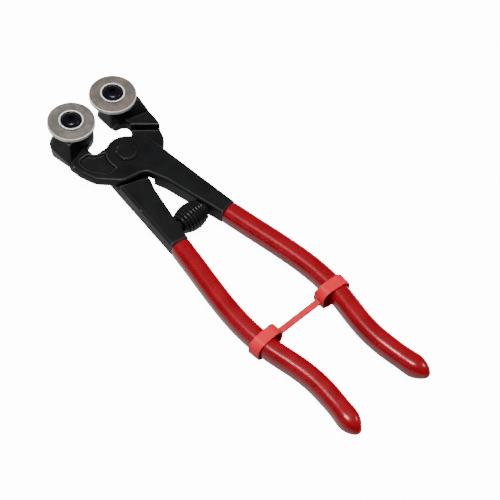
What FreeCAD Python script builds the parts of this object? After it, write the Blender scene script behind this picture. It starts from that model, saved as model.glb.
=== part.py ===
import FreeCAD, Part
import Sketcher
import math
import os

# Wheeled mosaic glass nippers, lying wheels up, jaws a little open.
# Frame: millimetres, +Z up, origin where the pivot axis meets the plane that the tool rests on.
# +X runs to the wheels, -X to the grips.  The upper lever has its wheel at +Y and its grip at -Y.
# The lower lever is its mirror image in plan, and takes the lower half of the lap joint.

doc = FreeCAD.newDocument("glass_nippers")
vec = FreeCAD.Vector

SIZES = {
    "mid_height": 6.5,          # mid-plane of both levers
    "lever_half": 4.2,          # half thickness of the black levers
    "lap_gap": 0.1,             # between the two lapped halves
    "boss_radius": 9.6,         # raised round boss at the pivot
    "rivet_radius": 3.1,
    "rivet_head_radius": 5.0,
    "rivet_head_height": 1.35,
    "rivet_foot_radius": 4.4,
    "rivet_foot_depth": 1.3,
    "pivot_clearance": 0.05,
    "wall_side": 24.2,          # outer wall of an arm, from the tool's axis
    "block_front": 30.2,
    "block_inner": 5.0,
    "block_shoulder": 10.0,      # level where the block is widest
    "block_top": 18.5,
    "wheel_forward": 24.2,
    "wheel_side": 12.4,
    "wheel_radius": 11.0,
    "wheel_thickness": 2.1,
    "wheel_chamfer": 0.25,
    "wheel_float": 0.05,        # running gap above the block
    "hub_radius": 5.8,
    "hub_rise": 1.0,            # hub rim above the wheel
    "hub_floor": 1.2,
    "hub_recess_radius": 4.95,
    "screw_radius": 2.5,
    "screw_clearance": 0.06,
    "screw_length": 11.0,
    "screw_head_radius": 4.75,
    "screw_head_height": 2.6,
    "screw_socket_flats": 3.0,
    "screw_socket_depth": 1.6,
    "panel_depth": 1.3,
    "arm_drop": 1.3,            # how far the lower lever's head arm reaches below the mid-plane
    "grip_start": 53.0,
    "tang_half_width": 2.9,
    "tang_half_height": 3.0,
    "spring_station": 44.0,
    "spring_seat": 8.3,         # lever wall from the axis at the spring
    "spring_wire": 1.4,
    "spring_end_radius": 3.9,
    "spring_mid_radius": 5.75,
    "spring_reach": 7.2,       # half of the spring's length
    "spring_turns": 8.0,
    "peg_radius": 2.4,
    "peg_out": 3.4,
    "peg_in": 4.0,
    "strap_station": 114.5,
    "strap_width": 5.8,
    "strap_wall": 0.9,
    "strap_pinch": 0.05,        # how far the strap is pressed into the grip, above and below
    "strap_slack_inner": 4.1,   # room between the grip's side and the inside of the loop
    "strap_slack_outer": 0.6,
    "link_width": 2.7,
    "link_thickness": 1.6,
}


def make_sheet():
    """Spreadsheet that holds every driving size under its alias."""
    sheet = doc.addObject("Spreadsheet::Sheet", "sizes")
    for row, (name, value) in enumerate(SIZES.items(), start=1):
        sheet.set(f"A{row}", name)
        sheet.set(f"B{row}", str(value))
        sheet.setAlias(f"B{row}", name)
    doc.recompute()
    return sheet


sizes = make_sheet()


def size(name):
    """Value of one cell of the sheet."""
    return float(getattr(sizes, name))


# ---------------------------------------------------------------- drawing helpers

def plane_of(body, role):
    """One of the body's own origin planes."""
    return next(f for f in body.Origin.OriginFeatures if f.Role == role)


def new_body(label):
    body = doc.addObject("PartDesign::Body", label)
    body.Label = label
    return body


def new_sketch(body, name, role="XY_Plane", lift=None):
    """Sketch on an origin plane, lifted along the plane's normal by an expression."""
    sketch = body.newObject("Sketcher::SketchObject", name)
    sketch.AttachmentSupport = [(plane_of(body, role), "")]
    sketch.MapMode = "FlatFace"
    if lift:
        sketch.setExpression("AttachmentOffset.Base.z", lift)
    return sketch


def corner_arc(before, corner, after, radius):
    """Arc of the given radius that rounds a corner: its start, middle and end points."""
    back = (before - corner).normalize()
    ahead = (after - corner).normalize()
    half_angle = back.getAngle(ahead) / 2
    reach = radius / math.tan(half_angle)
    start = corner + back * reach
    end = corner + ahead * reach
    bisector = (back + ahead).normalize()
    middle = corner + bisector * (radius / math.sin(half_angle) - radius)
    return start, middle, end


def rounded_edges(corners):
    """Edges of a closed outline, from corners given as (x, y, radius)."""
    points = [vec(x, y, 0) for x, y, _ in corners]
    pieces = []
    for i, (_, _, radius) in enumerate(corners):
        after = points[(i + 1) % len(points)]
        if radius:
            pieces.append(corner_arc(points[i - 1], points[i], after, radius))
        else:
            pieces.append((points[i],))
    edges = []
    for i, piece in enumerate(pieces):
        if len(piece) == 3:
            edges.append(Part.Arc(*piece))
        following = pieces[(i + 1) % len(pieces)][0]
        if piece[-1].distanceToPoint(following) > 1e-6:
            edges.append(Part.LineSegment(piece[-1], following))
    return edges


def draw_outline(sketch, corners):
    for edge in rounded_edges(corners):
        sketch.addGeometry(edge, False)


def draw_circle(sketch, x, y, radius_expression):
    """Circle whose radius is bound to the sheet."""
    index = sketch.addGeometry(Part.Circle(vec(x, y, 0), vec(0, 0, 1), 1.0), False)
    sketch.addConstraint(Sketcher.Constraint("DistanceX", -1, 1, index, 3, x))
    sketch.addConstraint(Sketcher.Constraint("DistanceY", -1, 1, index, 3, y))
    radius = sketch.addConstraint(Sketcher.Constraint("Radius", index, 1.0))
    sketch.setExpression(f"Constraints[{radius}]", radius_expression)


def mirrored(corners, side):
    """The outline for a lever whose wheel is at +Y (side 1) or at -Y (side -1)."""
    return [(x, side * y, radius) for x, y, radius in corners]


def pad(body, sketch, length, symmetric=False, taper=None):
    feature = body.newObject("PartDesign::Pad", "Pad")
    feature.Profile = sketch
    feature.SideType = "Symmetric" if symmetric else "One side"
    feature.setExpression("Length", length)
    if taper:
        feature.setExpression("TaperAngle", taper)
    sketch.Visibility = False
    doc.recompute()
    return feature


def pocket(body, sketch, depth, reverse=False):
    """Pocket that has to take material away."""
    before = body.Shape.Volume
    feature = body.newObject("PartDesign::Pocket", "Pocket")
    feature.Profile = sketch
    feature.Reversed = reverse
    feature.setExpression("Length", depth)
    sketch.Visibility = False
    doc.recompute()
    if body.Shape.Volume > before - 0.01:
        raise RuntimeError(f"{body.Label}: a pocket cuts nothing")
    return feature


def full_circle_pad(body, name, radius, lift, length):
    """Round boss about the pivot axis."""
    sketch = new_sketch(body, name, lift=lift)
    draw_circle(sketch, 0, 0, radius)
    return pad(body, sketch, length)


def edges_at_height(shape, height):
    """Names of the edges that lie wholly in one level plane."""
    names = []
    for number, edge in enumerate(shape.Edges, start=1):
        box = edge.BoundBox
        if abs(box.ZMin - height) < 1e-4 and abs(box.ZMax - height) < 1e-4:
            names.append(f"Edge{number}")
    return names


def fillet(body, names, radius):
    """Rounds the named edges of the body's last feature."""
    base = body.Tip
    feature = body.newObject("PartDesign::Fillet", "Fillet")
    feature.Base = (base, names)
    feature.Radius = radius
    doc.recompute()


# ---------------------------------------------------------------- handle centre line

# Stations along one handle: (distance behind the pivot, distance from the tool's axis).
HANDLE_STATIONS = [
    (53.0, 14.6),
    (62.0, 16.2),
    (71.0, 17.8),
    (80.0, 19.4),
    (89.0, 20.8),
    (98.0, 21.8),
    (107.0, 22.1),
    (116.0, 21.5),
    (125.0, 20.0),
    (134.0, 18.4),
    (143.0, 17.7),
    (152.0, 18.2),
    (160.5, 19.3),
    (166.6, 20.3),
    (169.8, 20.8),
    (171.9, 21.1),
    (173.0, 21.3),
]


def handle_curve(side):
    """Smooth centre line of the handle of the lever whose wheel is on the given side."""
    curve = Part.BSplineCurve()
    curve.interpolate([vec(-x, -side * y, 0) for x, y in HANDLE_STATIONS])
    return curve


def frame_at(side, distance):
    """Point, direction and level normal of a handle's centre line, at a distance behind the pivot."""
    curve = handle_curve(side)
    plane = Part.Plane(vec(-distance, 0, 0), vec(1, 0, 0))
    point = curve.intersect(plane)[0][0]
    point = vec(point.X, point.Y, point.Z)
    direction = vec(curve.tangent(curve.parameter(point))[0])
    return point, direction, vec(-direction.y, direction.x, 0)


def offset_point(side, distance, offset):
    point, _, normal = frame_at(side, distance)
    return point + normal * offset


# ---------------------------------------------------------------- levers

EDGE_ROUND = 1.2            # forged edges of the arms

# Levels of the head block: how far its front and its outer wall are drawn in,
# then where its rear face starts at the outer wall and at the inner wall.
BLOCK_LEVELS = {
    "sole": (0.0, 2.1, 14.5, 17.2),
    "block_shoulder": (1.2, -0.1, 11.2, 16.5),
    "block_top": (2.6, 2.8, 15.2, 16.7),
}
ARM_HALF_WIDTH = 4.4       # black arm where the grip starts
TANG_END = 158.0


def arm_corners(side):
    """Plan outline of the lever from its head block to the start of the grip."""
    mouth = size("grip_start")
    inner, outer = sorted(
        (offset_point(1, mouth, sign * ARM_HALF_WIDTH) for sign in (-1, 1)),
        key=lambda p: -p.y,
    )
    wall = size("wall_side")
    corners = [
        (20.0, wall - 3.0, 0),
        (10.8, wall, 3.0),
        (5.0, wall - 0.6, 12.0),
        (-2.8, 20.8, 9.0),
        (-11.4, 11.8, 6.0),
        (-13.6, 0.2, 5.0),
        (-24.0, -3.7, 14.0),
        (inner.x, inner.y, 0),
        (outer.x, outer.y, 0),
        (-11.0, -15.0, 20.0),
        (3.0, -13.6, 8.0),
        (8.8, -4.4, 5.0),
        (8.4, 12.0, 1.8),
        (13.6, 12.0, 2.2),
        (17.2, size("block_inner") + 0.4, 1.6),
        (20.0, size("block_inner") + 0.4, 0),
    ]
    return mirrored(corners, side)


def block_corners(side, level):
    """Plan outline of the block at one of its three levels."""
    front_inset, wall_inset, rear_outer, rear_inner = BLOCK_LEVELS[level]
    front = size("block_front") - front_inset
    wall = size("wall_side") - wall_inset
    return mirrored([
        (front, size("block_inner"), 4.5),
        (front, wall, 5.0),
        (rear_outer, wall, 0.9),
        (rear_inner, size("block_inner"), 1.2),
    ], side)


def lap_corners(side):
    """Plan area in which a lever keeps only half of its thickness."""
    return mirrored([
        (17.4, -26.0, 0),
        (17.4, 4.6, 0),
        (-0.4, 26.0, 0),
        (-16.5, 26.0, 0),
        (-18.8, 1.5, 0),
        (-11.0, -18.5, 0),
        (-11.0, -26.0, 0),
    ], side)


def sink_panel(body):
    """Shallow sunk panel on top of the upper lever's head arm."""
    panel = new_sketch(body, "Panel", lift="sizes.mid_height + sizes.lever_half + 0.01")
    draw_outline(panel, [
        (10.6, 14.2, 1.8),
        (10.6, 20.2, 2.4),
        (3.6, 20.2, 7.0),
        (-4.2, 14.2, 2.2),
        (-3.0, 6.0, 0),
        (5.0, 5.0, 0),
        (8.0, 12.6, 1.8),
    ])
    pocket(body, panel, "sizes.panel_depth")


def add_tang(body, side):
    """Flat bar that runs down inside the grip."""
    start = size("grip_start") - 3.0
    stations = [start] + [x for x, _ in HANDLE_STATIONS[1:-5]] + [TANG_END]
    half = size("tang_half_width")
    sketch = new_sketch(body, "TangOutline", lift="sizes.mid_height")
    rails = []
    for sign in (1, -1):
        rail = Part.BSplineCurve()
        rail.interpolate([offset_point(side, max(x, size("grip_start")), sign * half)
                          + vec(max(x, size("grip_start")) - x, 0, 0) for x in stations])
        rails.append(rail)
        sketch.addGeometry(rail, False)
    for end in ("StartPoint", "EndPoint"):
        sketch.addGeometry(Part.LineSegment(getattr(rails[0], end), getattr(rails[1], end)), False)
    pad(body, sketch, "sizes.tang_half_height * 2", symmetric=True)


def add_block(body, side, name, lower, upper):
    """One drafted storey of the head block, lofted between two of its levels."""
    outlines = []
    for level in (lower, upper):
        sketch = new_sketch(body, f"{name}_{level}", lift=f"sizes.{level}" if level != "sole" else None)
        draw_outline(sketch, block_corners(side, level))
        outlines.append(sketch)
    loft = body.newObject("PartDesign::AdditiveLoft", name)
    loft.Profile = outlines[0]
    loft.Sections = [outlines[1]]
    loft.Ruled = True
    doc.recompute()


def cut_inner_slope(body, side):
    """Slope under the block's inner edge."""
    sketch = new_sketch(body, "InnerSlope", role="YZ_Plane", lift="sizes.block_front + 1")
    depth = size("mid_height") + 0.9
    draw_outline(sketch, [
        (side * -1.0, -1.0, 0),
        (side * 10.5, -1.0, 0),
        (side * 10.5, 0.0, 0),
        (side * (size("block_inner") - 0.1), depth, 0),
        (side * -1.0, depth, 0),
    ])
    pocket(body, sketch, "sizes.block_front - 12")


def cut_from_below(body, side, name, outline):
    """Takes away the lever's underside on its wheel's side of the axis, below a side-view outline."""
    sketch = new_sketch(body, name, role="XZ_Plane", lift=f"{-0.5 * side}")
    draw_outline(sketch, [(x, z, 0) for x, z in outline])
    pocket(body, sketch, "sizes.wall_side + 2", reverse=side < 0)


def cut_round(body, name, role, x, y, radius, lift, depth, reverse=False):
    sketch = new_sketch(body, name, role=role, lift=lift)
    draw_circle(sketch, x, y, radius)
    pocket(body, sketch, depth, reverse)


def make_lever(label, side, is_upper):
    body = new_body(label)
    arm = new_sketch(body, "ArmOutline", lift="sizes.mid_height")
    draw_outline(arm, arm_corners(side))
    pad(body, arm, "sizes.lever_half * 2", symmetric=True)
    top = size("mid_height") + size("lever_half")
    bottom = size("mid_height") - size("lever_half")
    names = edges_at_height(body.Shape, top) + edges_at_height(body.Shape, bottom)
    fillet(body, names, EDGE_ROUND)
    if is_upper:
        sink_panel(body)
    lap = new_sketch(body, "Lap")
    draw_outline(lap, lap_corners(side))
    if is_upper:
        lap.setExpression("AttachmentOffset.Base.z", "sizes.mid_height + sizes.lap_gap / 2")
        pocket(body, lap, "sizes.mid_height + 2")
        full_circle_pad(body, "Boss", "sizes.boss_radius", "sizes.mid_height + sizes.lap_gap / 2",
                        "sizes.lever_half - sizes.lap_gap / 2")
    else:
        lap.setExpression("AttachmentOffset.Base.z", "sizes.mid_height - sizes.lap_gap / 2")
        pocket(body, lap, "sizes.lever_half + 2", reverse=True)
        full_circle_pad(body, "Boss", "sizes.boss_radius", "0", "sizes.mid_height - sizes.lap_gap / 2")
    arm_bottom = size("mid_height") + (size("lap_gap") / 2 if is_upper else -size("arm_drop"))
    arm_rear = -17.0 if is_upper else size("boss_radius") + 1
    cut_from_below(body, side, "ArmSole", [
        (21.0, -1.0), (21.0, arm_bottom), (arm_rear, arm_bottom), (arm_rear, -1.0),
    ])
    add_block(body, side, "Heel", "sole", "block_shoulder")
    add_block(body, side, "Block", "block_shoulder", "block_top")
    cut_inner_slope(body, side)
    cut_from_below(body, side, "HeelSlope", [(27.0, -1.0), (27.0, 0.0), (12.5, arm_bottom), (12.5, -1.0)])
    add_tang(body, side)
    hole = "sizes.rivet_radius + sizes.pivot_clearance" if is_upper else "sizes.rivet_radius"
    cut_round(body, "PivotHole", "XY_Plane", 0, 0, hole, "sizes.block_top", "sizes.block_top + 1")
    if not is_upper:
        cut_round(body, "RivetSeat", "XY_Plane", 0, 0, "sizes.rivet_foot_radius",
                  "sizes.rivet_foot_depth", "sizes.rivet_foot_depth + 1")
    cut_round(body, "ScrewHole", "XY_Plane", size("wheel_forward"), side * size("wheel_side"),
              "sizes.screw_radius", "sizes.block_top + 1", "sizes.screw_length + 1")
    seat = "sizes.spring_seat - 1"
    cut_round(body, "PegHole", "XZ_Plane", -size("spring_station"), size("mid_height"),
              "sizes.peg_radius", seat if side > 0 else f"-({seat})", "sizes.peg_in + 1", reverse=side > 0)
    return body


# ---------------------------------------------------------------- turned pieces

def revolved(label, profile, x, y, z):
    """Piece turned from a half profile of (radius, height) corners, standing at x, y, z."""
    body = new_body(label)
    sketch = new_sketch(body, "HalfProfile", role="XZ_Plane")
    draw_outline(sketch, profile)
    turn = body.newObject("PartDesign::Revolution", "Turned")
    turn.Profile = sketch
    turn.ReferenceAxis = (sketch, ["V_Axis"])
    turn.Angle = 360
    doc.recompute()
    body.Placement = FreeCAD.Placement(vec(x, y, z), FreeCAD.Rotation())
    return body


def make_rivet():
    mid = size("mid_height")
    top = mid + size("lever_half") + size("pivot_clearance")
    head = size("rivet_head_radius")
    rise = size("rivet_head_height")
    shank = size("rivet_radius")
    foot = size("rivet_foot_radius")
    foot_top = size("rivet_foot_depth")
    return revolved("pivot_rivet", [
        (0, 0, 0),
        (foot, 0, 0),
        (foot, foot_top, 0),
        (shank, foot_top, 0),
        (shank, top, 0),
        (head, top, 0),
        (head, top + rise * 0.6, 0),
        (head - 0.6, top + rise, 0),
        (0, top + rise, 0),
    ], 0, 0, 0)


def wheel_place(side):
    return size("wheel_forward"), side * size("wheel_side"), size("block_top") + size("wheel_float")


def make_wheel(label, side):
    inner = size("hub_radius")
    outer = size("wheel_radius")
    thick = size("wheel_thickness")
    bevel = size("wheel_chamfer")
    return revolved(label, [
        (inner, 0, 0),
        (outer - bevel, 0, 0),
        (outer, bevel, 0),
        (outer, thick - bevel, 0),
        (outer - bevel, thick, 0),
        (inner, thick, 0),
    ], *wheel_place(side))


def make_hub(label, side):
    outer = size("hub_radius")
    top = size("wheel_thickness") + size("hub_rise")
    bore = size("screw_radius") + size("screw_clearance")
    recess = size("hub_recess_radius")
    floor = size("hub_floor")
    bevel = size("wheel_chamfer")
    return revolved(label, [
        (bore, 0, 0),
        (outer, 0, 0),
        (outer, top - bevel, 0),
        (outer - bevel, top, 0),
        (recess + bevel, top, 0),
        (recess, top - bevel, 0),
        (recess, floor, 0),
        (bore, floor, 0),
    ], *wheel_place(side))


def make_screw(label, side):
    """Button head screw with a hexagon socket; its shank ends in the block."""
    x, y, z = wheel_place(side)
    seat = z + size("hub_floor") + size("wheel_float")
    head = size("screw_head_radius")
    rise = size("screw_head_height")
    shank = size("screw_radius")
    tip = size("block_top") - size("screw_length") + 0.5
    body = new_body(label)
    sketch = new_sketch(body, "HalfProfile", role="XZ_Plane")
    crown = head * 0.55
    rim = 0.5
    shoulder = vec(head, seat + rim, 0)
    crest = vec(crown, seat + rise, 0)
    bulge = vec(head * 0.86, seat + rise * 0.72, 0)
    outline = [
        Part.LineSegment(vec(0, tip, 0), vec(shank - 0.5, tip, 0)),
        Part.LineSegment(vec(shank - 0.5, tip, 0), vec(shank, tip + 0.5, 0)),
        Part.LineSegment(vec(shank, tip + 0.5, 0), vec(shank, seat, 0)),
        Part.LineSegment(vec(shank, seat, 0), vec(head, seat, 0)),
        Part.LineSegment(vec(head, seat, 0), shoulder),
        Part.Arc(shoulder, bulge, crest),
        Part.LineSegment(crest, vec(0, seat + rise, 0)),
        Part.LineSegment(vec(0, seat + rise, 0), vec(0, tip, 0)),
    ]
    for edge in outline:
        sketch.addGeometry(edge, False)
    turn = body.newObject("PartDesign::Revolution", "Turned")
    turn.Profile = sketch
    turn.ReferenceAxis = (sketch, ["V_Axis"])
    turn.Angle = 360
    doc.recompute()
    socket = new_sketch(body, "Socket", lift=None)
    socket.AttachmentOffset = FreeCAD.Placement(vec(0, 0, seat + rise), FreeCAD.Rotation())
    corner = size("screw_socket_flats") / math.sqrt(3)
    angles = [math.radians(60 * i + 30) for i in range(6)]
    draw_outline(socket, [(corner * math.cos(a), corner * math.sin(a), 0) for a in angles])
    pocket(body, socket, "sizes.screw_socket_depth")
    body.Placement = FreeCAD.Placement(vec(x, y, 0), FreeCAD.Rotation())
    return body


# ---------------------------------------------------------------- grips and strap

# Half width, half height and corner radius of a grip: along its body, and at the last stations.
GRIP_BODY = (4.8, 4.8, 3.6)
GRIP_NOSE = [(4.75, 4.75, 3.7), (3.6, 3.7, 3.2), (2.2, 2.3, 2.0), (1.0, 1.1, 0.9)]


def cross_sketch(body, name, side, distance, corners):
    """Outline across the handle at a station: first numbers level, second ones upward."""
    point, direction, normal = frame_at(side, distance)
    sketch = body.newObject("Sketcher::SketchObject", name)
    sketch.AttachmentSupport = [(plane_of(body, "XY_Plane"), "")]
    sketch.MapMode = "FlatFace"
    turn = FreeCAD.Rotation(normal, vec(0, 0, 1), direction, "ZXY")
    place = vec(point.x, point.y, size("mid_height"))
    sketch.AttachmentOffset = FreeCAD.Placement(place, turn)
    draw_outline(sketch, corners)
    return sketch


def rounded_corners(right, left, half_height, radius):
    """Corners of a rounded rectangle that reaches two given distances to the sides."""
    return [
        (right, half_height, radius),
        (-left, half_height, radius),
        (-left, -half_height, radius),
        (right, -half_height, radius),
    ]


def grip_body(label, side):
    body = new_body(label)
    sections = []
    plain = len(HANDLE_STATIONS) - len(GRIP_NOSE)
    for number, (distance, _) in enumerate(HANDLE_STATIONS):
        width, height, radius = GRIP_BODY if number < plain else GRIP_NOSE[number - plain]
        corners = rounded_corners(width, width, height, radius)
        sections.append(cross_sketch(body, f"Section{number}", side, distance, corners))
    loft = body.newObject("PartDesign::AdditiveLoft", "Dip")
    loft.Profile = sections[0]
    loft.Sections = sections[1:]
    doc.recompute()
    return body


def cut(label, base, tool):
    feature = doc.addObject("Part::Cut", label)
    feature.Base = base
    feature.Tool = tool
    feature.Label = label
    doc.recompute()
    return feature


LOOP_ROUND = 4.7            # outer corners of the strap's loops
LINK_REACH = 11.7           # half length of the strap's bar


def loop_corners(side, growth, radius):
    """Outline of a strap loop, grown by a wall; it is slack on the side of the other handle."""
    half_width, half_height, _ = GRIP_BODY
    outer = half_width + size("strap_slack_outer") + growth
    inner = half_width + size("strap_slack_inner") + growth
    right, left = (outer, inner) if side > 0 else (inner, outer)
    return rounded_corners(right, left, half_height - size("strap_pinch") + growth, radius)


def strap_ring_body(label, side):
    """Loop across the handle; the grip is cut out of it afterwards, so it is held there."""
    body = new_body(label)
    wall = size("strap_wall")
    start = size("strap_station") - size("strap_width") / 2
    outside = cross_sketch(body, "Outside", side, start, loop_corners(side, wall, LOOP_ROUND))
    pad(body, outside, "sizes.strap_width")
    inside = cross_sketch(body, "Inside", side, start, loop_corners(side, 0, LOOP_ROUND - wall))
    pocket(body, inside, "sizes.strap_width", reverse=True)
    return body


def make_link():
    """Straight bar of the strap between the two rings."""
    link = doc.addObject("Part::Box", "strap_link")
    link.Label = "strap_link"
    link.setExpression("Length", "sizes.link_width")
    link.setExpression("Height", "sizes.link_thickness")
    link.Width = 2 * LINK_REACH
    corner = vec(
        -size("strap_station") - size("link_width") / 2,
        -LINK_REACH,
        size("mid_height") - size("link_thickness") / 2,
    )
    link.Placement = FreeCAD.Placement(corner, FreeCAD.Rotation())
    doc.recompute()
    return link


# ---------------------------------------------------------------- spring

def make_peg(label, side):
    """Stub that holds one end of the spring; it is pressed into the lever of that side's wheel."""
    peg = doc.addObject("Part::Cylinder", label)
    peg.Label = label
    peg.setExpression("Radius", "sizes.peg_radius")
    peg.setExpression("Height", "sizes.peg_in + sizes.peg_out")
    tip = size("spring_seat") - size("peg_out")
    start = vec(-size("spring_station"), -side * tip, size("mid_height"))
    peg.Placement = FreeCAD.Placement(start, FreeCAD.Rotation(vec(0, 0, 1), vec(0, -side, 0)))
    doc.recompute()
    return peg


def make_spring(label):
    """Barrel coil: turns widen to the middle and narrow again."""
    half_length = size("spring_reach") - size("spring_wire") / 2
    turns = size("spring_turns")
    end_radius = size("spring_end_radius")
    bulge = size("spring_mid_radius") - end_radius
    steps_per_turn = 12
    count = int(turns * steps_per_turn)
    points = []
    for i in range(count + 1):
        share = i / count
        angle = 2 * math.pi * turns * share
        radius = end_radius + bulge * math.sin(math.pi * share) ** 0.8
        along = half_length * (2 * share - 1)
        points.append(vec(radius * math.cos(angle), radius * math.sin(angle), along))
    path = Part.BSplineCurve()
    path.interpolate(points)
    wire = Part.Wire([path.toShape()])
    start_direction = path.tangent(path.FirstParameter)[0]
    ring = Part.Circle(points[0], start_direction, size("spring_wire") / 2)
    section = Part.Wire([ring.toShape()])
    sweep = wire.makePipeShell([section], True, True)
    spring = doc.addObject("Part::Feature", label)
    spring.Label = label
    spring.Shape = sweep
    place = vec(-size("spring_station"), 0, size("mid_height"))
    spring.Placement = FreeCAD.Placement(place, FreeCAD.Rotation(vec(0, 0, 1), vec(0, 1, 0)))
    return spring


# ---------------------------------------------------------------- assembly

def build():
    upper_lever = make_lever("upper_lever", 1, True)
    lower_lever = make_lever("lower_lever", -1, False)
    parts = [upper_lever, lower_lever, make_rivet()]
    for name, side in (("left", 1), ("right", -1)):
        parts.append(make_wheel(f"{name}_wheel", side))
        parts.append(make_hub(f"{name}_wheel_hub", side))
        parts.append(make_screw(f"{name}_wheel_screw", side))
    for name, side, lever in (("upper", 1, upper_lever), ("lower", -1, lower_lever)):
        grip = grip_body(f"{name}_grip_dip", side)
        band = strap_ring_body(f"{name}_strap_band", side)
        parts.append(cut(f"{name}_strap_ring", band, grip))
        parts.append(cut(f"{name}_grip", grip, lever))
        parts.append(make_peg(f"{name}_spring_peg", side))
    parts.append(make_spring("return_spring"))
    parts.append(make_link())
    return parts


def check_and_export(parts):
    doc.recompute()
    for item in doc.Objects:
        if "Invalid" in item.State or "Error" in item.State:
            raise RuntimeError(f"{item.Label} failed: {item.State}")
    os.makedirs("parts", exist_ok=True)
    for part in parts:
        shape = part.Shape
        if shape.isNull() or not shape.isValid() or len(shape.Solids) != 1:
            raise RuntimeError(f"{part.Label} is not one valid solid")
        shape.exportStep(f"parts/{part.Label}.step")
        print(f"{part.Label}: {shape.Volume:.1f} mm3")


check_and_export(build())
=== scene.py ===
import math

import bpy
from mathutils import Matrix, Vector


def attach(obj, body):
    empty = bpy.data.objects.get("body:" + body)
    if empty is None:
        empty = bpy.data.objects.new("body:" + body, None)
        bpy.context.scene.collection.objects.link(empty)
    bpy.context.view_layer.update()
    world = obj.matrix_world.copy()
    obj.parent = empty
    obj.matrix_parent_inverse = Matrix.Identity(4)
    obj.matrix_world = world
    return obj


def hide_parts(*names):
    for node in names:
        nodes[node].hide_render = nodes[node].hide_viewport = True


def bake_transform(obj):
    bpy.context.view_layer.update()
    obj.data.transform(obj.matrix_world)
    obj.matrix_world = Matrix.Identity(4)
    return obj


# Looks for the wheeled glass nippers: soft forged levers, dipped grips, strap, spring, wheels.
# Metres, in the CAD frame: origin on the pivot axis, +X to the wheels, +Z up.

MM = 0.001
WHEEL = Vector((24.2 * MM, 12.4 * MM, 0))
WHEEL_RADIUS = 11.0 * MM
HUB_RADIUS = 5.8 * MM
HUB_RECESS = 4.95 * MM
TANG_CUT = -57.0 * MM               # the levers end here, inside their grips
FLOOR_GLOW = 13.0                   # emission that makes the floor look white to the camera
FLOOR_MIRRORED = 0.05               # share of that glow which shiny pieces reflect
FLOOR_BOUNCE = (0.25, 0.25, 0.25, 1.0)  # the floor's colour to every ray but the camera's

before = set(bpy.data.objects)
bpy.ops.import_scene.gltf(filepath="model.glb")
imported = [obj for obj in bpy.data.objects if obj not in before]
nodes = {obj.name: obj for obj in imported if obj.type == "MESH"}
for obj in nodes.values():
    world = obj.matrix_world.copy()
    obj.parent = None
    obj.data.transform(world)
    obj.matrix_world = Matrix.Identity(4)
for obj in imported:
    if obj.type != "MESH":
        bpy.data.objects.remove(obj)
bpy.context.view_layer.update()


# ---------------------------------------------------------------- mesh helpers

def select_only(obj):
    if bpy.context.object and bpy.context.object.mode != "OBJECT":
        bpy.ops.object.mode_set(mode="OBJECT")
    bpy.ops.object.select_all(action="DESELECT")
    obj.select_set(True)
    bpy.context.view_layer.objects.active = obj


def edit(obj):
    select_only(obj)
    bpy.ops.object.mode_set(mode="EDIT")
    bpy.ops.mesh.select_all(action="SELECT")


def leave_edit():
    bpy.ops.object.mode_set(mode="OBJECT")


def named(name):
    """The object just made by an operator, renamed."""
    obj = bpy.context.object
    obj.name = name
    obj.data.name = name
    return obj


def apply_modifier(obj, kind, **settings):
    select_only(obj)
    modifier = obj.modifiers.new(kind.title(), kind)
    for key, value in settings.items():
        setattr(modifier, key, value)
    bpy.ops.object.modifier_apply(modifier=modifier.name)


def merged_copy(node, name):
    """Own object with a CAD node's shape, its loose triangles merged."""
    obj = bpy.data.objects.new(name, nodes[node].data.copy())
    bpy.context.scene.collection.objects.link(obj)
    edit(obj)
    bpy.ops.mesh.remove_doubles(threshold=0.000002)
    bpy.ops.mesh.normals_make_consistent(inside=False)
    leave_edit()
    return obj


def cut_off(obj, point, normal):
    """Takes away what lies beyond a plane and closes the cut."""
    edit(obj)
    bpy.ops.mesh.bisect(plane_co=point, plane_no=normal, use_fill=True, clear_outer=True)
    leave_edit()


def soften(obj, voxel, passes):
    """Rounds every edge a little, as forging or dipping leaves it."""
    apply_modifier(obj, "REMESH", mode="VOXEL", voxel_size=voxel, use_smooth_shade=True)
    apply_modifier(obj, "SMOOTH", factor=0.5, iterations=passes)


def smooth_by_angle(obj, degrees):
    select_only(obj)
    bpy.ops.object.shade_smooth_by_angle(angle=math.radians(degrees))


def paint(obj, material):
    obj.data.materials.clear()
    obj.data.materials.append(material)


# ---------------------------------------------------------------- shader helpers

class Tree:
    """Short way to add and join nodes in one node tree."""

    def __init__(self, tree):
        self.tree = tree

    def add(self, kind, inputs=None, **settings):
        node = self.tree.nodes.new(kind)
        for key, value in settings.items():
            setattr(node, key, value)
        for key, value in (inputs or {}).items():
            if isinstance(value, bpy.types.NodeSocket):
                self.tree.links.new(value, node.inputs[key])
            else:
                node.inputs[key].default_value = value
        return node

    def math(self, operation, first, second=0.0):
        return self.add("ShaderNodeMath", {0: first, 1: second}, operation=operation).outputs[0]

    def spread(self, value, low, high, to_low, to_high):
        """Maps a value's range onto another, smoothly and clamped."""
        node = self.add("ShaderNodeMapRange", {"Value": value, "From Min": low, "From Max": high,
                                               "To Min": to_low, "To Max": to_high})
        return node.outputs["Result"]

    def blend_colors(self, factor, first, second):
        node = self.add("ShaderNodeMix", {0: factor, 6: first, 7: second}, data_type="RGBA")
        return node.outputs[2]

    def noise(self, place, scale, detail=3.0, roughness=0.5):
        node = self.add("ShaderNodeTexNoise", {"Vector": place, "Scale": scale, "Detail": detail,
                                               "Roughness": roughness})
        return node.outputs["Fac"]


def new_group(name, inputs, outputs):
    """Empty shader node group with the given sockets: (name, socket type, default)."""
    group = bpy.data.node_groups.new(name, "ShaderNodeTree")
    for label, kind, value in inputs:
        socket = group.interface.new_socket(label, in_out="INPUT", socket_type=kind)
        if value is not None:
            socket.default_value = value
    for label, kind in outputs:
        group.interface.new_socket(label, in_out="OUTPUT", socket_type=kind)
    tree = Tree(group)
    return group, tree, tree.add("NodeGroupInput"), tree.add("NodeGroupOutput")


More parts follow.
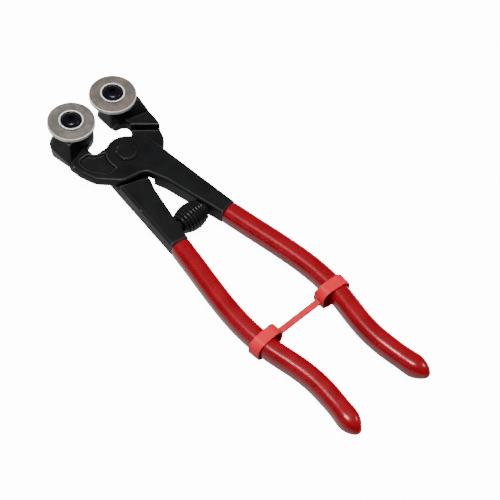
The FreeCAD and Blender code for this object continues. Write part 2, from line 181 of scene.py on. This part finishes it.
def new_material(name):
    """Material with its tree, its shader and its object coordinates."""
    material = bpy.data.materials.new(name)
    material.use_nodes = True
    tree = Tree(material.node_tree)
    shader = material.node_tree.nodes["Principled BSDF"]
    place = tree.add("ShaderNodeTexCoord").outputs["Object"]
    return material, tree, shader, place


def make_grain_group():
    """Fine cast grain: a value round one half for tone, and a bumped normal."""
    group, tree, given, result = new_group(
        "fine grain",
        [("Place", "NodeSocketVector", None), ("Grain", "NodeSocketFloat", 1500.0),
         ("Depth", "NodeSocketFloat", 0.1), ("Reach", "NodeSocketFloat", 0.0002)],
        [("Tone", "NodeSocketFloat"), ("Normal", "NodeSocketVector")])
    place = given.outputs["Place"]
    fine = tree.noise(place, given.outputs["Grain"], 4.0, 0.6)
    broad = tree.noise(place, 90.0, 3.0, 0.55)
    tone = tree.math("ADD", tree.math("MULTIPLY", fine, 0.4), tree.math("MULTIPLY", broad, 0.6))
    bump = tree.add("ShaderNodeBump", {"Strength": given.outputs["Depth"],
                                       "Distance": given.outputs["Reach"], "Height": fine})
    tree.tree.links.new(tone, result.inputs["Tone"])
    tree.tree.links.new(bump.outputs["Normal"], result.inputs["Normal"])
    return group


def make_turned_group():
    """Concentric turning marks about an upright axis: a mask, the radius and a bumped normal."""
    group, tree, given, result = new_group(
        "turned marks",
        [("Place", "NodeSocketVector", None), ("Centre", "NodeSocketVector", (0.0, 0.0, 0.0)),
         ("Depth", "NodeSocketFloat", 0.2)],
        [("Mask", "NodeSocketFloat"), ("Radius", "NodeSocketFloat"), ("Normal", "NodeSocketVector")])
    arm = tree.add("ShaderNodeVectorMath", {0: given.outputs["Place"], 1: given.outputs["Centre"]},
                   operation="SUBTRACT").outputs[0]
    flat = tree.add("ShaderNodeVectorMath", {0: arm, 1: (1.0, 1.0, 0.0)},
                    operation="MULTIPLY").outputs[0]
    radius = tree.add("ShaderNodeVectorMath", {0: flat}, operation="LENGTH").outputs["Value"]
    rings = tree.add("ShaderNodeCombineXYZ", {"X": radius}).outputs[0]
    coarse = tree.noise(rings, 1500.0, 4.0, 0.7)
    patch = tree.noise(given.outputs["Place"], 500.0, 2.0)
    mask = tree.math("MULTIPLY", coarse, tree.spread(patch, 0.3, 0.7, 0.6, 1.0))
    bump = tree.add("ShaderNodeBump", {"Strength": given.outputs["Depth"], "Distance": 0.00008,
                                       "Height": mask})
    tree.tree.links.new(mask, result.inputs["Mask"])
    tree.tree.links.new(radius, result.inputs["Radius"])
    tree.tree.links.new(bump.outputs["Normal"], result.inputs["Normal"])
    return group


GRAIN = make_grain_group()
TURNED = make_turned_group()


def grouped(tree, group, **inputs):
    """A use of a shader group, with its inputs set or joined."""
    node = tree.tree.nodes.new("ShaderNodeGroup")
    node.node_tree = group
    for key, value in inputs.items():
        if isinstance(value, bpy.types.NodeSocket):
            tree.tree.links.new(value, node.inputs[key])
        else:
            node.inputs[key].default_value = value
    return node


def connect(tree, output, shader, name):
    tree.tree.links.new(output, shader.inputs[name])


def black_steel(name, dark, light, rough, depth, reach, wear_and_shading):
    """Blackened steel: near black with a satin skin, paler on convex edges from rubbing and from a
    painted highlight, less shiny in concave corners as a painted shade.
    """
    material, tree, shader, place = new_material(name)
    skin = grouped(tree, GRAIN, Place=place, Grain=1900.0, Depth=depth, Reach=reach)
    tone = skin.outputs["Tone"]
    base = tree.blend_colors(tree.spread(tone, 0.35, 0.65, 0.0, 1.0), dark, light)
    edges = tree.add("ShaderNodeNewGeometry").outputs["Pointiness"]
    # Convex edges turn a paler grey: partly rubbed-off blackening, partly a painted highlight.
    worn_and_highlit = tree.spread(edges, 0.51, 0.56, 0.0, wear_and_shading)
    color = tree.blend_colors(worn_and_highlit, base, (0.085, 0.085, 0.09, 1.0))
    # Concave corners lose shine: a painted shade.
    shine = tree.spread(edges, 0.42, 0.49, 0.14 - 0.17 * wear_and_shading, 0.14)
    connect(tree, shine, shader, "Specular IOR Level")
    connect(tree, color, shader, "Base Color")
    connect(tree, tree.spread(tone, 0.3, 0.7, rough - 0.06, rough + 0.08), shader, "Roughness")
    connect(tree, skin.outputs["Normal"], shader, "Normal")
    return material


def carbide(name, side, hue_a, hue_b):
    """Ground wheel: warm grey face with faint rings and stains, a painted highlight on the bevel and
    a duller painted sheen on the rim.
    """
    material, tree, shader, place = new_material(name)
    centre = (WHEEL.x, side * WHEEL.y, 0.0)
    marks = grouped(tree, TURNED, Place=place, Centre=centre, Depth=0.35)
    cloud = tree.noise(place, 260.0, 4.0, 0.6)
    stain = tree.blend_colors(tree.spread(cloud, 0.38, 0.62, 0.0, 1.0), hue_a, hue_b)
    shade = tree.spread(marks.outputs["Mask"], 0.2, 0.6, 0.68, 1.16)
    color = tree.add("ShaderNodeVectorMath", {0: stain, "Scale": shade}, operation="SCALE").outputs[0]
    radius = marks.outputs["Radius"]
    # Painted highlight: a near white band on the bevel, and a paler grey painted sheen on the rim,
    # both set by the radius.
    edge = tree.spread(radius, WHEEL_RADIUS - 0.35 * MM, WHEEL_RADIUS - 0.22 * MM, 0.0, 1.0)
    rim = tree.spread(radius, WHEEL_RADIUS - 0.10 * MM, WHEEL_RADIUS - 0.03 * MM, 0.0, 1.0)
    color = tree.blend_colors(edge, color, (0.96, 0.94, 0.91, 1.0))
    color = tree.blend_colors(rim, color, (0.55, 0.52, 0.48, 1.0))
    connect(tree, color, shader, "Base Color")
    satin = tree.spread(cloud, 0.3, 0.7, 0.42, 0.52)
    connect(tree, tree.math("SUBTRACT", satin, tree.math("MULTIPLY", edge, 0.2)), shader, "Roughness")
    connect(tree, marks.outputs["Normal"], shader, "Normal")
    connect(tree, tree.spread(edge, 0.0, 1.0, 0.8, 0.15), shader, "Metallic")
    return material


def bright_steel(name, side):
    """Polished hub: its rim is bright; the walls inside and outside it are painted near black as
    painted shade.
    """
    material, tree, shader, place = new_material(name)
    centre = (WHEEL.x, side * WHEEL.y, 0.0)
    marks = grouped(tree, TURNED, Place=place, Centre=centre, Depth=0.12)
    color = tree.blend_colors(marks.outputs["Mask"], (0.97, 0.97, 0.96, 1.0), (0.86, 0.86, 0.85, 1.0))
    radius = marks.outputs["Radius"]
    # Painted shade: the hub's outer and inner walls are coloured near black by the radius.
    outer_wall = tree.spread(radius, HUB_RADIUS - 0.10 * MM, HUB_RADIUS - 0.01 * MM, 0.0, 1.0)
    inner_wall = tree.spread(radius, HUB_RECESS + 0.01 * MM, HUB_RECESS + 0.09 * MM, 1.0, 0.0)
    walls = tree.math("MAXIMUM", outer_wall, inner_wall)
    color = tree.blend_colors(walls, color, (0.10, 0.095, 0.09, 1.0))
    connect(tree, color, shader, "Base Color")
    connect(tree, tree.spread(marks.outputs["Mask"], 0.2, 0.6, 0.22, 0.34), shader, "Roughness")
    connect(tree, marks.outputs["Normal"], shader, "Normal")
    shader.inputs["Metallic"].default_value = 0.3
    return material


def dipped_vinyl(name, deep, pale, rough, coat, shine):
    """Glossy dipped plastic with a gently uneven skin."""
    material, tree, shader, place = new_material(name)
    wave = tree.noise(place, 130.0, 2.0, 0.45)
    fine = tree.noise(place, 900.0, 2.0, 0.5)
    color = tree.blend_colors(tree.spread(wave, 0.3, 0.7, 0.0, 1.0), deep, pale)
    connect(tree, color, shader, "Base Color")
    connect(tree, tree.spread(fine, 0.3, 0.7, rough - 0.01, rough + 0.02), shader, "Roughness")
    height = tree.math("ADD", wave, tree.math("MULTIPLY", fine, 0.002))
    bump = tree.add("ShaderNodeBump", {"Strength": 0.08, "Distance": 0.0004, "Height": height})
    connect(tree, bump.outputs["Normal"], shader, "Normal")
    shader.inputs["Specular IOR Level"].default_value = shine
    shader.inputs["Specular Tint"].default_value = (1.0, 0.55, 0.57, 1.0)
    shader.inputs["Coat Weight"].default_value = coat
    shader.inputs["Coat Roughness"].default_value = 0.14
    return material


FORGED = black_steel("forged black steel", (0.002, 0.002, 0.0024, 1.0), (0.005, 0.005, 0.0056, 1.0),
                     rough=0.42, depth=0.12, reach=0.00012, wear_and_shading=0.7)
OXIDE = black_steel("black oxide screw", (0.003, 0.003, 0.005, 1.0), (0.007, 0.006, 0.010, 1.0),
                    rough=0.22, depth=0.06, reach=0.00003, wear_and_shading=0.0)
WIRE = black_steel("spring wire", (0.006, 0.006, 0.0065, 1.0), (0.013, 0.013, 0.014, 1.0),
                   rough=0.2, depth=0.08, reach=0.00004, wear_and_shading=0.0)
RED_DIP = dipped_vinyl("red dip", (0.19, 0.001, 0.0045, 1.0), (0.25, 0.0018, 0.008, 1.0),
                       rough=0.27, coat=0.2, shine=0.4)
STRAP = dipped_vinyl("strap vinyl", (0.58, 0.007, 0.020, 1.0), (0.68, 0.011, 0.029, 1.0),
                     rough=0.42, coat=0.06, shine=0.25)


# ---------------------------------------------------------------- levers

def place_piece(piece, material, body, node):
    """Paints a piece, fixes it to its body and puts it in the place of a CAD node."""
    paint(piece, material)
    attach(piece, body)
    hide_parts(node)


def make_lever(node, name, body):
    lever = merged_copy(node, name)
    cut_off(lever, (TANG_CUT, 0, 0), (-1, 0, 0))
    soften(lever, voxel=0.3 * MM, passes=3)
    place_piece(lever, FORGED, body, node)


make_lever("upper_lever", "upper_forging", "upper_arm")
make_lever("lower_lever", "lower_forging", "lower_arm")


def make_rivet():
    """Peened rivet: its head gets a rolled edge."""
    rivet = merged_copy("pivot_rivet", "pivot_pin")
    soften(rivet, voxel=0.2 * MM, passes=3)
    place_piece(rivet, FORGED, "lower_arm", "pivot_rivet")


make_rivet()


# ---------------------------------------------------------------- grips

def make_grip(node, name, body):
    grip = merged_copy(node, name)
    soften(grip, voxel=0.36 * MM, passes=26)
    place_piece(grip, RED_DIP, body, node)


make_grip("upper_grip", "upper_dip", "upper_arm")
make_grip("lower_grip", "lower_dip", "lower_arm")


# ---------------------------------------------------------------- kept CAD nodes

def keep(node, material):
    smooth_by_angle(nodes[node], 35)
    paint(nodes[node], material)


# Side of the axis and the two hues of each wheel's face.
WHEELS = {
    "left": (1, (0.20, 0.187, 0.170, 1.0), (0.25, 0.222, 0.200, 1.0)),
    "right": (-1, (0.21, 0.192, 0.168, 1.0), (0.26, 0.205, 0.178, 1.0)),
}

for label, (side, grey, brown) in WHEELS.items():
    keep(f"{label}_wheel", carbide(f"{label} carbide", side, grey, brown))
    keep(f"{label}_wheel_hub", bright_steel(f"{label} bright hub", side))
    keep(f"{label}_wheel_screw", OXIDE)
keep("upper_spring_peg", WIRE)
keep("lower_spring_peg", WIRE)


# ---------------------------------------------------------------- spring and strap

def make_spring():
    """Coil with slightly fatter wire."""
    coil = merged_copy("return_spring", "coil_spring")
    apply_modifier(coil, "DISPLACE", strength=0.12 * MM, mid_level=0.0)
    smooth_by_angle(coil, 60)
    paint(coil, WIRE)
    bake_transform(coil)
    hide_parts("return_spring")


def make_strap():
    """Two loops, one on each grip, and the bar between them."""
    for node, name, body in (("upper_strap_ring", "upper_band", "upper_arm"),
                             ("lower_strap_ring", "lower_band", "lower_arm")):
        band = merged_copy(node, name)
        soften(band, voxel=0.2 * MM, passes=2)
        place_piece(band, STRAP, body, node)
    link = merged_copy("strap_link", "strap_bar")
    edit(link)
    bpy.ops.mesh.subdivide(number_cuts=6)
    leave_edit()
    paint(link, STRAP)
    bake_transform(link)
    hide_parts("strap_link")


make_spring()
make_strap()


# ---------------------------------------------------------------- camera, floor and light

def make_camera():
    data = bpy.data.cameras.new("camera")
    data.lens = 133.22
    data.sensor_width = 36.0
    data.clip_end = 10.0
    camera = bpy.data.objects.new("camera", data)
    bpy.context.scene.collection.objects.link(camera)
    camera.location = (-0.392523, 0.341285, 0.681555)
    camera.rotation_euler = (0.6079826, -0.0565840, -2.3220560)
    bpy.context.scene.camera = camera


def make_floor():
    """White to the camera, but a mid grey that lights the tool only a little."""
    bpy.ops.mesh.primitive_plane_add(size=6.0, location=(0, 0, 0))
    floor = named("floor")
    material, tree, shader, place = new_material("pale floor")
    cloud = tree.noise(place, 6.0, 2.0)
    color = tree.blend_colors(cloud, (0.93, 0.93, 0.93, 1.0), (0.96, 0.96, 0.96, 1.0))
    shader.inputs["Roughness"].default_value = 0.9
    path = tree.add("ShaderNodeLightPath")
    shaded = tree.blend_colors(path.outputs["Is Camera Ray"], FLOOR_BOUNCE, color)
    connect(tree, shaded, shader, "Base Color")
    seen = tree.math("MAXIMUM", path.outputs["Is Camera Ray"],
                     tree.math("MULTIPLY", path.outputs["Is Glossy Ray"], FLOOR_MIRRORED))
    connect(tree, color, shader, "Emission Color")
    connect(tree, tree.math("MULTIPLY", seen, FLOOR_GLOW), shader, "Emission Strength")
    paint(floor, material)


def make_light(name, location, target, width, height, power):
    data = bpy.data.lights.new(name, "AREA")
    data.shape = "RECTANGLE"
    data.size = width
    data.size_y = height
    data.energy = power
    light = bpy.data.objects.new(name, data)
    bpy.context.scene.collection.objects.link(light)
    light.location = location
    aim = Vector(target) - Vector(location)
    light.rotation_euler = aim.to_track_quat("-Z", "Y").to_euler()
    return light


def make_world():
    world = bpy.data.worlds.new("studio")
    bpy.context.scene.world = world
    world.use_nodes = True
    back = world.node_tree.nodes["Background"]
    back.inputs["Color"].default_value = (1.0, 1.0, 1.0, 1.0)
    back.inputs["Strength"].default_value = 0.11


make_camera()
make_floor()
make_world()
make_light("overhead", (-0.05, 0.05, 0.9), (-0.05, 0, 0), width=0.28, height=0.28, power=13.0)
left_side = make_light("left side", (0.1, 0.9, 0.35), (-0.02, 0, 0), width=0.5, height=0.3, power=3.5)
left_side.visible_glossy = False
make_light("right side", (-0.55, -0.75, 0.75), (-0.08, 0, 0), width=0.12, height=0.12, power=2.5)
